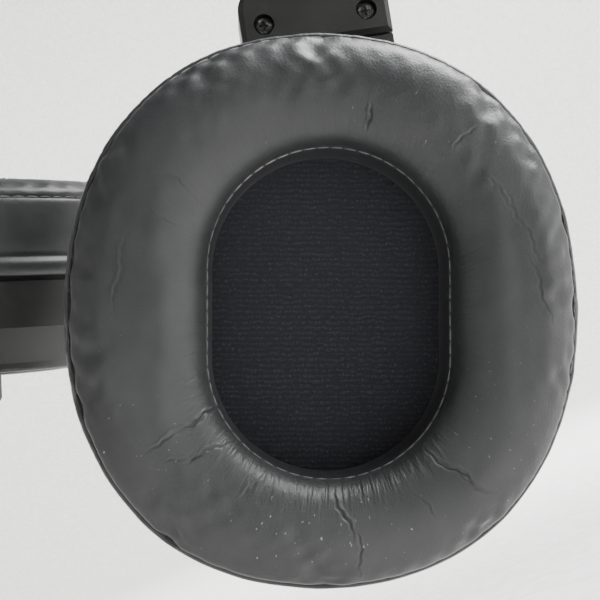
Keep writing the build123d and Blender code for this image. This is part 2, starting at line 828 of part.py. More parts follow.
def side_nodes(side):
    """Slider, knuckle, yoke and cup of one side."""
    slider = {
        "slider_strip": slider_strip(),
        "hinge_bracket": hinge_bracket(),
        "bracket_rivets": bracket_rivets(),
        "hinge_pin": hinge_pin(),
    }
    arm = {"hinge_knuckle": hinge_knuckle(), "swivel_pin": swivel_pin()}
    cup = {
        "yoke_fork": yoke_fork(),
        "yoke_cover": yoke_cover(),
        "yoke_screws": yoke_screws(),
        "pivot_pins": pivot_pins(),
        "lead_boot_yoke": lead_boot_yoke(),
        "cup_housing": cup_housing(side == "left"),
        "outer_ring": outer_ring(),
        "outer_cap": outer_cap(),
        "baffle": baffle(),
        "baffle_screws": baffle_screws(),
        "driver_frame": driver_frame(),
        "driver_magnet": driver_magnet(),
        "driver_diaphragm": driver_diaphragm(),
        "damping_felt": damping_felt(),
        "scrim_cloth": scrim_cloth(),
        "ear_pad": ear_pad(),
        "lead_boot_cup": lead_boot_cup(),
        "jumper_lead": jumper_lead(),
    }
    if side == "left":
        cup["jack_socket"] = jack_socket()
    nodes = {}
    for frame, pieces in ((arc_frame(), slider), (arm_frame(side), arm), (yoke_frame(side), cup)):
        for name, shape in pieces.items():
            nodes[f"{name}_{side}"] = place(side, frame, shape)
    return nodes


def all_nodes():
    return {**headband_nodes(), **side_nodes("left"), **side_nodes("right")}


def main():
    os.makedirs("parts", exist_ok=True)
    for name, shape in all_nodes().items():
        write(name, shape)


if __name__ == "__main__":
    main()
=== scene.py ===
"""Over ear headphones: the looks of every piece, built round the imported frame, in metres."""

import json
import logging
from dataclasses import dataclass, field
from enum import Enum
from typing import Any

import bpy
import numpy as np
from mathutils import Matrix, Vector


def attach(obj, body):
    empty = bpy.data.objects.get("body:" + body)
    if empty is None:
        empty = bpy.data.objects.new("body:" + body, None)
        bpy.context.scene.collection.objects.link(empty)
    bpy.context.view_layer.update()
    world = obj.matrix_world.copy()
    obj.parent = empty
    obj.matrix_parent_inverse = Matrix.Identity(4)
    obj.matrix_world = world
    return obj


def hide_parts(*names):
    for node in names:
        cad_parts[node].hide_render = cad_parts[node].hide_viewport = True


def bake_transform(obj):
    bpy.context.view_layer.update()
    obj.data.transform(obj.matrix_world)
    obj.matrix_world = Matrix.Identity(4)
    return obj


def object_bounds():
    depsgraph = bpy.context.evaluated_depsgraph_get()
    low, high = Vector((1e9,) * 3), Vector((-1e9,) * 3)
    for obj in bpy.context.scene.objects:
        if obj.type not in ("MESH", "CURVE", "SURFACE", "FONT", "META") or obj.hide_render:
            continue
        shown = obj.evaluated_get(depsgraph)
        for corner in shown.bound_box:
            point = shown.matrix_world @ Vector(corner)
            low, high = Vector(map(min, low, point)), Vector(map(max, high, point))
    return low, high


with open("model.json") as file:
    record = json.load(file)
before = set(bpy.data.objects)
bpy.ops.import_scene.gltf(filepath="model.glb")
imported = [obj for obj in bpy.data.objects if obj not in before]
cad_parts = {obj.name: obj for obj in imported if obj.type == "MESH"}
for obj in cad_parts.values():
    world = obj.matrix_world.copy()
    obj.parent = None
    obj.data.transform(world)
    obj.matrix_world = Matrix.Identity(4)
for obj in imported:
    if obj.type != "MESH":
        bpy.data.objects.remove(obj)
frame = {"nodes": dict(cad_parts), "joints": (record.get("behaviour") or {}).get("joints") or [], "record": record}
CAD_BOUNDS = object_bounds()

MM = 0.001
SIDES = ("left", "right")
LOG = logging.getLogger("headphones")


# ---- shader maths -----------------------------------------------------------
class Wire:
    """A shader value: a socket that can be added, multiplied and compared in an expression."""

    def __init__(self, graph: "Graph", socket: Any) -> None:
        """Keeps the graph that the socket is in."""
        self.graph = graph
        self.socket = socket

    def maths(self, operation: str, *values: Any) -> "Wire":
        """One Math node on these values; returns its result."""
        settings = {"operation": operation}
        return self.graph.node("ShaderNodeMath", settings, dict(enumerate(values)))

    def __add__(self, other: Any) -> "Wire":
        """Sum."""
        return self.maths("ADD", self, other)

    def __sub__(self, other: Any) -> "Wire":
        """Difference."""
        return self.maths("SUBTRACT", self, other)

    def __rsub__(self, other: Any) -> "Wire":
        """Difference from a number."""
        return self.maths("SUBTRACT", other, self)

    def __mul__(self, other: Any) -> "Wire":
        """Product."""
        return self.maths("MULTIPLY", self, other)

    __radd__ = __add__
    __rmul__ = __mul__

    def sine(self) -> "Wire":
        """Sine of an angle in radians."""
        return self.maths("SINE", self)

    def ramp(self, low: float, high: float) -> "Wire":
        """Nought below low, one above high and straight between."""
        inputs = {"Value": self, "From Min": low, "From Max": high}
        return self.graph.node("ShaderNodeMapRange", {"clamp": True}, inputs, "Result")


class Graph:
    """One material's node tree round its Principled shader."""

    def __init__(self, name: str) -> None:
        """Starts the material with an empty tree."""
        self.material = bpy.data.materials.new(name)
        self.material.use_nodes = True
        self.tree = self.material.node_tree
        self.tree.nodes.clear()
        self.shader = self.tree.nodes.new("ShaderNodeBsdfPrincipled")
        output = self.tree.nodes.new("ShaderNodeOutputMaterial")
        self.tree.links.new(self.shader.outputs[0], output.inputs["Surface"])

    def feed(self, socket: Any, value: Any) -> None:
        """Links a wire to a socket, or sets the socket to a constant."""
        if isinstance(value, Wire):
            self.tree.links.new(value.socket, socket)
        else:
            socket.default_value = value

    def node(self, kind: str, settings: dict, inputs: dict, result: Any = 0) -> Wire:
        """Adds a node.

        Args:
            kind: the node's type.
            settings: its properties, set first.
            inputs: socket names or numbers to values or wires.
            result: the output's name or number.

        Returns:
            The chosen output.
        """
        made = self.tree.nodes.new(kind)
        for key, value in settings.items():
            setattr(made, key, value)
        for key, value in inputs.items():
            self.feed(made.inputs[key], value)
        return Wire(self, made.outputs[result])

    def place(self) -> Wire:
        """Object coordinates, in metres."""
        return self.node("ShaderNodeTexCoord", {}, {}, "Object")

    def attribute(self, name: str) -> Wire:
        """A number stored on the piece's points."""
        return self.node("ShaderNodeAttribute", {"attribute_name": name}, {}, "Fac")

    def noise(self, scale: float, detail: float = 3.0, roughness: float = 0.5, on: Any = None) -> Wire:
        """Cloudy noise in object space, or on another vector; scale is features for each metre."""
        inputs = {"Vector": on or self.place(), "Scale": scale, "Detail": detail, "Roughness": roughness}
        return self.node("ShaderNodeTexNoise", {}, inputs, "Fac")

    def skin(self, share: float) -> Wire:
        """The place on a pad's skin, with its last part, which runs across the roll, drawn out."""
        vector = self.node("ShaderNodeAttribute", {"attribute_name": "skin"}, {}, "Vector")
        return self.node("ShaderNodeMapping", {}, {"Vector": vector, "Scale": (1.0, 1.0, share)}, "Vector")

    def cells(self, scale: float, feature: str = "F1") -> Wire:
        """Distance inside a cell pattern; scale is cells for each metre."""
        inputs = {"Vector": self.place(), "Scale": scale}
        return self.node("ShaderNodeTexVoronoi", {"feature": feature}, inputs, "Distance")

    def mix(self, factor: Any, first: Any, second: Any) -> Wire:
        """Blends two colours."""
        made = self.tree.nodes.new("ShaderNodeMix")
        made.data_type = "RGBA"
        self.feed(made.inputs[0], factor)
        self.feed(made.inputs[6], first)
        self.feed(made.inputs[7], second)
        return Wire(self, made.outputs[2])

    def bump(self, height: Wire, depth: float, strength: float = 1.0) -> Wire:
        """Tilts the normal by a height; depth is metres for a height of one."""
        inputs = {"Height": height, "Distance": depth, "Strength": strength}
        return self.node("ShaderNodeBump", {}, inputs, "Normal")

    def surface(self, **values: Any) -> bpy.types.Material:
        """Sets the Principled shader's sockets, with underscores for spaces; returns the material."""
        for key, value in values.items():
            self.feed(self.shader.inputs[key.replace("_", " ")], value)
        return self.material


def grey(level: float, warm: float = 0.0) -> tuple[float, float, float, float]:
    """A near-neutral linear colour, warmer for a positive second value."""
    return (level * (1 + warm), level, level * (1 - warm), 1.0)


# ---- finishes ---------------------------------------------------------------
@dataclass(frozen=True)
class Leatherette:
    """Coated leather cloth: fine grain, drawn wrinkles, a soft sheen, pale rubbed dashes where it is worn."""

    name: str
    colour: tuple = (0.0105, 0.0115, 0.0125, 1.0)
    rubbed: tuple = (0.026, 0.0275, 0.028, 1.0)
    scuffed: tuple = (0.34, 0.33, 0.31, 1.0)
    lining: tuple = (0.0022, 0.0026, 0.0048, 1.0)
    roughness: float = 0.42
    grain: float = 2300.0
    grain_depth: float = 0.000045
    wrinkle_depth: float = 0.00016
    drawn: bool = True

    def make(self) -> bpy.types.Material:
        """Grain from small cells and noise, wrinkles from noise drawn out across the roll, dashes from wear.

        Returns:
            The material; attributes "wear", "drawn" and "lining" say where each thing is on the piece.
        """
        graph = Graph(self.name)
        pebbles = graph.cells(self.grain)
        pores = graph.noise(4300.0, 4.0, 0.6)
        slow = graph.noise(34.0, 4.0, 0.55)
        mottle = graph.noise(170.0, 4.0, 0.6)
        wear = graph.attribute("wear")
        height = pebbles * 0.6 + pores * 0.5 + mottle * 0.5
        colour = graph.mix((slow * 0.7 + mottle * 0.3 + wear * 0.2).ramp(0.4, 0.72), self.colour, self.rubbed)
        rough = self.roughness + slow * 0.14 - pores * 0.08
        if self.drawn:
            tight = graph.attribute("drawn")
            threads = graph.noise(1500.0, 3.0, 0.6, graph.skin(0.16))
            folds = graph.noise(620.0, 3.0, 0.65, graph.skin(0.10))
            dashes = graph.noise(2400.0, 2.0, 0.5, graph.skin(0.30))
            height = height + (threads * 1.3 + folds * 2.4) * tight * (self.wrinkle_depth / self.grain_depth)
            specks = (dashes + wear * 0.07).ramp(0.75, 0.785) * wear.ramp(0.05, 0.3)
            colour = graph.mix(specks * 0.55, colour, self.scuffed)
            lined = graph.attribute("lining")
            colour = graph.mix(lined, colour, self.lining)
            rough = rough + specks * 0.2 + lined * 0.5
        normal = graph.bump(height, self.grain_depth)
        return graph.surface(
            Base_Color=colour,
            Roughness=rough,
            Normal=normal,
            Specular_IOR_Level=0.42,
            Sheen_Weight=0.03,
            Sheen_Roughness=0.4,
        )


@dataclass(frozen=True)
class Moulded:
    """Moulded plastic with a spark-etched texture, faint handling marks and a slow shift of tone."""

    name: str
    colour: tuple
    roughness: float = 0.5
    texture: float = 2600.0
    texture_depth: float = 0.00004
    coat: float = 0.0

    def make(self) -> bpy.types.Material:
        """Texture from fine noise, roughness from two slower noises, thin scuffs from stretched cells."""
        graph = Graph(self.name)
        etched = graph.noise(self.texture, 3.0, 0.6)
        handled = graph.noise(55.0, 5.0, 0.6)
        scuffs = graph.noise(420.0, 6.0, 0.75).ramp(0.66, 0.72) * handled.ramp(0.5, 0.7)
        light = tuple(min(1.0, c * 1.7 + 0.012) for c in self.colour[:3]) + (1.0,)
        colour = graph.mix(handled.ramp(0.3, 0.8) * 0.5 + scuffs * 0.5, self.colour, light)
        rough = self.roughness + handled * 0.16 - 0.08 + scuffs * 0.15
        normal = graph.bump(etched, self.texture_depth)
        return graph.surface(
            Base_Color=colour,
            Roughness=rough,
            Normal=normal,
            Coat_Weight=self.coat,
            Coat_Roughness=0.12,
            Specular_IOR_Level=0.32,
        )


@dataclass(frozen=True)
class Metal:
    """Bare or blackened steel with fine drawn lines and worn bright spots."""

    name: str
    colour: tuple
    roughness: float = 0.32
    blackened: float = 0.0

    def make(self) -> bpy.types.Material:
        """Lines from noise stretched along one way, bright spots from noise where the blacking is worn."""
        graph = Graph(self.name)
        stretched = graph.node(
            "ShaderNodeMapping", {}, {"Vector": graph.place(), "Scale": (300.0, 6000.0, 300.0)}
        )
        inputs = {"Vector": stretched, "Scale": 1.0, "Detail": 3.0}
        lines = graph.node("ShaderNodeTexNoise", {}, inputs, "Fac")
        worn = graph.noise(900.0, 5.0, 0.7).ramp(0.5, 0.68)
        dark = tuple(c * (1 - 0.9 * self.blackened) for c in self.colour[:3]) + (1.0,)
        colour = graph.mix(worn * 0.6, dark, self.colour)
        rough = self.roughness + lines * 0.14 + (1 - worn) * 0.1 * self.blackened
        normal = graph.bump(lines, 0.000012)
        return graph.surface(Base_Color=colour, Roughness=rough, Metallic=1.0, Normal=normal)


@dataclass(frozen=True)
class Knit:
    """Navy-black stretch knit: uneven rows of small loops in low ribs; the raised tips of the loops and fibres are
    painted lighter as a highlight, the hollows darker as shade.
    """

    name: str
    low: tuple = (0.0016, 0.0021, 0.0046, 1.0)
    # painted highlight colour, laid on the raised tips of the knit; the low colour above is the painted shade in
    # the hollows
    high: tuple = (0.040, 0.047, 0.074, 1.0)
    row: float = 1.0
    loop: float = 0.62

    def make(self) -> bpy.types.Material:
        """Rows are a sine up the cloth, loops a sine across it, both bent by noise; UV is in mm. The colour is
        painted light: the higher a point of the bump, the lighter it is painted.
        """
        graph = Graph(self.name)
        uv = graph.node("ShaderNodeTexCoord", {}, {}, "UV")
        across = graph.node("ShaderNodeSeparateXYZ", {}, {"Vector": uv}, "X")
        up = graph.node("ShaderNodeSeparateXYZ", {}, {"Vector": uv}, "Y")
        sway = graph.noise(420.0, 3.0, 0.6)
        fuzz = graph.noise(2900.0, 5.0, 0.8)
        tufts = graph.cells(1500.0)
        rows = ((up + sway * 1.6) * (2 * np.pi / self.row)).sine()
        offset = (up * (np.pi / self.row)).sine() * 1.4 + sway * 6.0
        loops = ((across + sway * 1.5) * (2 * np.pi / self.loop) + offset).sine()
        height = rows * 0.42 + loops * 0.16 + fuzz * 2.6 - tufts * 0.9
        # painted light and shade: the high tips of the bump are painted towards the light colour, the low parts
        # stay dark
        painted_tip_highlight = (height - 0.35).ramp(0.35, 1.65)
        colour = graph.mix(painted_tip_highlight * painted_tip_highlight, self.low, self.high)
        normal = graph.bump(height, 0.00013)
        return graph.surface(
            Base_Color=colour, Roughness=0.9, Normal=normal, Sheen_Weight=0.12, Sheen_Roughness=0.5
        )


@dataclass(frozen=True)
class Thread:
    """Twisted polyester thread, pale where it is rubbed."""

    name: str
    colour: tuple
    pale: tuple

    def make(self) -> bpy.types.Material:
        """Tone from the wear attribute and noise, twist from fine noise."""
        graph = Graph(self.name)
        worn = (graph.attribute("wear") + graph.noise(900.0, 3.0) * 0.5).ramp(0.3, 0.85)
        fibres = graph.noise(5200.0, 2.0)
        colour = graph.mix(worn, self.colour, self.pale)
        normal = graph.bump(fibres, 0.00005)
        return graph.surface(Base_Color=colour, Roughness=0.7 + fibres * 0.15, Normal=normal)


@dataclass(frozen=True)
class Soft:
    """Rubber, felt or film: one tone with its own roughness and fine surface noise."""

    name: str
    colour: tuple
    roughness: float
    noise: float = 1800.0
    depth: float = 0.00005

    def make(self) -> bpy.types.Material:
        """Tone and roughness from noise, bump from finer noise."""
        graph = Graph(self.name)
        tone = graph.noise(140.0, 4.0)
        fine = graph.noise(self.noise, 4.0, 0.65)
        light = tuple(min(1.0, c * 1.6) for c in self.colour[:3]) + (1.0,)
        colour = graph.mix(tone.ramp(0.3, 0.75), self.colour, light)
        rough = self.roughness + fine * 0.12 - 0.06
        return graph.surface(Base_Color=colour, Roughness=rough, Normal=graph.bump(fine, self.depth))


class Slot(Enum):
    """The record's material slots, with the finish that each one takes."""

    PAD_LEATHER = Leatherette("pad_leatherette")
    BAND_LEATHER = Leatherette("band_leatherette", grain=1900.0, drawn=False)
    SHELL_PLASTIC = Moulded("shell_plastic", grey(0.0095), 0.46)
    SHELL_PLASTIC_LIGHT = Moulded("shell_plastic_satin", grey(0.020), 0.36, 3200.0, 0.00002)
    OUTER_GLOSS = Moulded("outer_gloss", grey(0.010), 0.16, 1500.0, 0.000004, 0.6)
    DRIVER_PLASTIC = Moulded("driver_plastic", grey(0.022), 0.6)
    SPRING_STEEL = Metal("spring_steel", grey(0.42, 0.01))
    PIN_STEEL = Metal("pin_steel", grey(0.5), 0.25)
    SCREW_STEEL = Metal("screw_steel", grey(0.4), 0.34, 1.0)
    MAGNET = Metal("magnet_plating", grey(0.55, 0.01), 0.2)
    CONTACT_BRASS = Metal("contact_brass", (0.62, 0.46, 0.2, 1.0), 0.25)
    CLOTH = Knit("scrim_knit")
    RUBBER = Soft("lead_rubber", grey(0.016), 0.55)
    FELT = Soft("damping_felt", grey(0.05, 0.05), 0.95, 2600.0, 0.0003)
    FILM = Soft("diaphragm_film", (0.34, 0.27, 0.13, 1.0), 0.2, 700.0, 0.00001)

    @property
    def record_name(self) -> str:
        """The slot's name in the record."""
        return self.name.lower()


class Wardrobe:
    """Makes each finish once and dresses objects in it."""

    def __init__(self) -> None:
        """Starts with nothing made."""
        self.made: dict[str, bpy.types.Material] = {}

    def material(self, finish: Any) -> bpy.types.Material:
        """The finish's material, made on its first use."""
        if finish.name not in self.made:
            self.made[finish.name] = finish.make()
        return self.made[finish.name]

    def dress(self, piece: bpy.types.Object, finish: Any) -> None:
        """Gives a piece one finish all over."""
        piece.data.materials.clear()
        piece.data.materials.append(self.material(finish))


WARDROBE = Wardrobe()


# ---- meshes from arrays -------------------------------------------------------
def mesh_object(name: str, points: np.ndarray, quads: np.ndarray) -> bpy.types.Object:
    """Puts points and four-cornered faces into a new smooth object at the origin.

    Args:
        name: the object's name.
        points: an array of points, in metres.
        quads: an array of four point numbers for each face.

    Returns:
        The object, linked to the scene, faces turned outwards.
    """
    corners = points[quads]
    normals = np.cross(corners[:, 2] - corners[:, 0], corners[:, 3] - corners[:, 1])
    centre = points.mean(axis=0)
    if np.einsum("ij,ij->", normals, corners.mean(axis=1) - centre) < 0:
        quads = quads[:, ::-1]
    mesh = bpy.data.meshes.new(name)
    mesh.vertices.add(len(points))
    mesh.vertices.foreach_set("co", points.astype(np.float32).ravel())
    mesh.loops.add(quads.size)
    mesh.loops.foreach_set("vertex_index", quads.astype(np.int32).ravel())
    mesh.polygons.add(len(quads))
    mesh.polygons.foreach_set("loop_start", np.arange(0, quads.size, 4, dtype=np.int32))
    mesh.polygons.foreach_set("use_smooth", np.ones(len(quads), dtype=bool))
    mesh.update(calc_edges=True)
    made = bpy.data.objects.new(name, mesh)
    bpy.context.scene.collection.objects.link(made)
    return made


def grid_quads(rows: int, columns: int, close_rows: bool, close_columns: bool) -> np.ndarray:
    """Faces of a grid of rows by columns, joined round either way if it is closed."""
    row = np.arange(rows if close_rows else rows - 1)
    column = np.arange(columns if close_columns else columns - 1)
    a, b = np.meshgrid(row, column, indexing="ij")
    a2, b2 = (a + 1) % rows, (b + 1) % columns
    corners = [a * columns + b, a2 * columns + b, a2 * columns + b2, a * columns + b2]
    return np.stack([c.ravel() for c in corners], axis=1)


def lids(ring: int, first: int, last: int) -> np.ndarray:
    """Four-cornered faces that close both ends of a tube of even rings, from both end rings' first points."""
    step = np.arange(ring // 2 - 1)
    lid = np.stack([step, step + 1, ring - 2 - step, ring - 1 - step], axis=1)
    return np.vstack([first + lid, last + lid[:, ::-1]])


def point_attribute(piece: bpy.types.Object, name: str, values: np.ndarray) -> None:
    """Stores a number, or a vector where the last axis holds three, on each point of a piece."""
    vector = values.ndim == 3 and values.shape[2] == 3
    layer = piece.data.attributes.new(name, "FLOAT_VECTOR" if vector else "FLOAT", "POINT")
    layer.data.foreach_set("vector" if vector else "value", values.astype(np.float32).ravel())


def uv_map(piece: bpy.types.Object, pairs: np.ndarray) -> None:
    """Gives each point's pair of numbers to the corners that meet there."""
    mesh = piece.data
    corners = np.empty(len(mesh.loops), dtype=np.int32)
    mesh.loops.foreach_get("vertex_index", corners)
    layer = mesh.uv_layers.new(name="UVMap")
    layer.data.foreach_set("uv", pairs[corners].astype(np.float32).ravel())


def resample(line: np.ndarray, count: int) -> np.ndarray:
    """Points evenly spaced along a closed line, worked out from its running length."""
    closed = np.vstack([line, line[:1]])
    run = np.concatenate([[0.0], np.cumsum(np.linalg.norm(np.diff(closed, axis=0), axis=1))])
    at = np.linspace(0.0, run[-1], count, endpoint=False)
    return np.stack([np.interp(at, run, closed[:, k]) for k in range(closed.shape[1])], axis=1)


def finer(field_: np.ndarray, rows: int, columns: int) -> np.ndarray:
    """Carries a field that closes both ways to a denser grid, by padding its Fourier series."""
    spectrum = np.fft.fftshift(np.fft.fft2(field_, axes=(0, 1)), axes=(0, 1))
    out = np.zeros((rows, columns, field_.shape[2]), dtype=complex)
    r0 = rows // 2 - field_.shape[0] // 2
    c0 = columns // 2 - field_.shape[1] // 2
    out[r0 : r0 + field_.shape[0], c0 : c0 + field_.shape[1]] = spectrum
    scale = rows * columns / (field_.shape[0] * field_.shape[1])
    return np.real(np.fft.ifft2(np.fft.ifftshift(out, axes=(0, 1)), axes=(0, 1))) * scale


def normals_of(points: np.ndarray) -> np.ndarray:
    """Unit normals of a grid that closes both ways, from the cross product of its central differences."""
    along = np.roll(points, -1, axis=0) - np.roll(points, 1, axis=0)
    round_ = np.roll(points, -1, axis=1) - np.roll(points, 1, axis=1)
    normal = np.cross(along, round_)
    return normal / np.maximum(np.linalg.norm(normal, axis=2, keepdims=True), 1e-12)


def swell(points: np.ndarray, quads: np.ndarray, held: np.ndarray, pressure: float, cap: float) -> np.ndarray:
    """How far a closed padded skin moves when it is blown up as cloth.

    Args:
        points: a grid of points, in metres.
        quads: the skin's faces.
        held: one for each point that stays put, as where it is sewn or clipped.
        pressure: the pressure inside the skin.
        cap: the furthest that a point may move, in metres.

    Returns:
        The move of each point.
    """
    larger = 10.0
    skin = mesh_object("swell", points.reshape(-1, 3) * larger, quads)
    group = skin.vertex_groups.new(name="held")
    group.add([int(i) for i in np.flatnonzero(held.ravel())], 1.0, "REPLACE")
    cloth = skin.modifiers.new("cloth", "CLOTH")
    cloth.settings.vertex_group_mass = "held"
    cloth.settings.use_pressure = True
    cloth.settings.uniform_pressure_force = pressure
    cloth.settings.effector_weights.gravity = 0.0
    cloth.point_cache.frame_start = 1
    cloth.point_cache.frame_end = 20
    scene = bpy.context.scene
    for step in range(1, 21):
        scene.frame_set(step)
    shaped = skin.evaluated_get(bpy.context.evaluated_depsgraph_get())
    moved = np.empty(points.size, dtype=np.float32)
    shaped.data.vertices.foreach_get("co", moved)
    scene.frame_set(1)
    bpy.data.objects.remove(skin)
    move = moved.reshape(points.shape) / larger - points
    length = np.maximum(np.linalg.norm(move, axis=2, keepdims=True), 1e-12)
    return move * np.minimum(1.0, cap / length)


# ---- the frame's own places -------------------------------------------------------
def joint(name: str) -> dict:
    """A joint of the frame by its name."""
    return next(j for j in frame["joints"] if j["name"] == name)


def node_points(name: str) -> np.ndarray:
    """A CAD node's points at rest."""
    mesh = frame["nodes"][name].data
    flat = np.empty(len(mesh.vertices) * 3, dtype=np.float32)
    mesh.vertices.foreach_get("co", flat)
    return flat.reshape(-1, 3).astype(float)


@dataclass
class CupPlace:
    """Where one cup is: pivots at its origin, Z up the arm, the pad facing -Y; the right one is mirrored."""

    side: str
    cant: float = np.radians(9.2)
    origin: np.ndarray = field(init=False)
    axes: np.ndarray = field(init=False)
    hand: float = field(init=False)

    def __post_init__(self) -> None:
        """Works the frame out from the swivel and tilt joints and the pad's place."""
        tilt = joint(f"tilt_{self.side}")
        self.origin = np.array(tilt["pos_m"])
        up = np.array(joint(f"swivel_{self.side}")["axis"])
        if np.dot(np.array(joint(f"fold_{self.side}")["pos_m"]) - self.origin, up) < 0:
            up = -up
        across = np.array(tilt["axis"])
        pad = node_points(f"ear_pad_{self.side}").mean(axis=0) - self.origin
        if np.dot(np.cross(up, across), pad) > 0:
            across = -across
        self.axes = np.stack([across, np.cross(up, across), up], axis=1)
        self.hand = 1.0 if self.side == "left" else -1.0

    def world(self, points: np.ndarray) -> np.ndarray:
        """Points in the cup's own millimetres, in the row's frame."""
        own = points * np.array([self.hand, 1.0, 1.0]) * MM
        return own @ self.axes.T + self.origin

    def own(self, points: np.ndarray) -> np.ndarray:
        """Points of the row's frame in the cup's own millimetres, mirrored back for the right."""
        return (points - self.origin) @ self.axes * np.array([self.hand, 1.0, 1.0]) / MM

    def leaning(self, points: np.ndarray) -> np.ndarray:
        """Turns own points so that the pad's long axis, which leans from the arm, comes from upright."""
        turn = np.array(Matrix.Rotation(self.cant, 3, "Y"))
        return points @ turn.T

    def upright(self, points: np.ndarray) -> np.ndarray:
        """The reverse of leaning."""
        turn = np.array(Matrix.Rotation(-self.cant, 3, "Y"))
        return points @ turn.T


@dataclass(frozen=True)
class Crease:
    """One fold in the leather, in the pad's own plane, in millimetres and degrees."""

    x: float
    z: float
    angle: float
    length: float
    width: float
    depth: float

    def height(self, x: np.ndarray, z: np.ndarray) -> np.ndarray:
        """A narrow valley beside a low lip, bent by two sines, fading to nothing at both ends.

        Across it, the valley is exp(-q squared) and the lip 0.45 exp(-(q - 2.2) squared).
        """
        along_x, along_z = np.cos(np.radians(self.angle)), np.sin(np.radians(self.angle))
        along = (x - self.x) * along_x + (z - self.z) * along_z
        bend = 0.35 * np.sin(along * 0.8 + self.x) + 0.12 * np.sin(along * 2.9 + self.z)
        across = (z - self.z) * along_x - (x - self.x) * along_z + bend
        reach = np.clip(1.0 - (along / self.length) ** 2, 0.0, 1.0)
        q = across / (self.width * (0.45 + 0.55 * reach))
        return self.depth * reach * (0.45 * np.exp(-((q - 2.2) ** 2)) - np.exp(-(q**2)))


